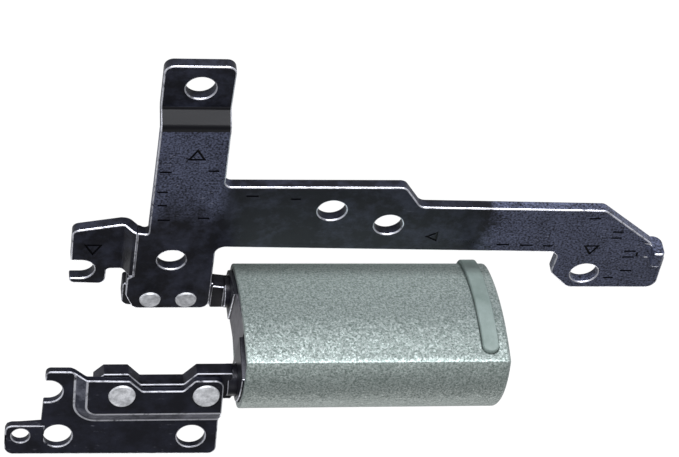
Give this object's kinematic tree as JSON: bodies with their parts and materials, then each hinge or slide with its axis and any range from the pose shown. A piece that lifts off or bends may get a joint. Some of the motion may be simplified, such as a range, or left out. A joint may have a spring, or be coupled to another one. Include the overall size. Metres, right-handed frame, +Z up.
{
  "type": "dual-axis laptop hinge",
  "caption": "Laptop hinge with two parallel friction shafts in a painted barrel, a long base bracket and a shorter lid bracket.",
  "frame": {"origin": "centre of the base bracket's screw hole beside the barrel, on the bracket's underside", "axes": "+X along both shafts towards the barrel's closed end; +Z up out of the base bracket, along its screw holes; +Y towards the base bracket's screw tab"},
  "size_m": [0.0655, 0.0416, 0.0165],
  "materials": {
    "black_steel": "blackened pressed steel, satin, with bright worn edges",
    "shaft_steel": "blackened turned steel, oiled",
    "rivet_steel": "plain steel, burnished heads",
    "stack_steel": "ground spring steel, greased",
    "link_steel": "blackened sintered steel",
    "barrel_paint": "fine metallic paint, grey-green, satin",
    "core_plastic": "black moulded plastic",
    "bumper_rubber": "smooth matt rubber, grey-green"
  },
  "bodies": {
    "base": {"base_bracket": "black_steel", "base_shaft": "shaft_steel", "base_rivet_left": "rivet_steel", "base_rivet_right": "rivet_steel", "base_cam": "stack_steel", "base_washer": "stack_steel", "base_end_washer": "stack_steel", "base_spring_1": "stack_steel", "base_spring_2": "stack_steel", "base_nut": "stack_steel"},
    "lid": {"lid_bracket": "black_steel", "lid_shaft": "shaft_steel", "lid_rivet_left": "rivet_steel", "lid_rivet_right": "rivet_steel", "lid_cam": "stack_steel", "lid_washer": "stack_steel", "lid_end_washer": "stack_steel", "lid_spring_1": "stack_steel", "lid_spring_2": "stack_steel", "lid_nut": "stack_steel"},
    "barrel": {"barrel_cover": "barrel_paint", "barrel_core": "core_plastic", "bumper_strip": "bumper_rubber", "base_end_plate": "link_steel", "lid_end_plate": "link_steel", "base_friction_plate": "link_steel", "lid_friction_plate": "link_steel"}
  },
  "joints": [
    {"name": "base_hinge", "type": "hinge", "parent": "base", "child": "barrel", "pos_m": [0, -0.0065, -0.0003], "axis": [1, 0, 0], "range_deg": [0, 180]},
    {"name": "lid_hinge", "type": "hinge", "parent": "barrel", "child": "lid", "pos_m": [0, -0.00877, 0.00905], "axis": [-1, 0, 0], "range_deg": [-12, 168]}
  ]
}
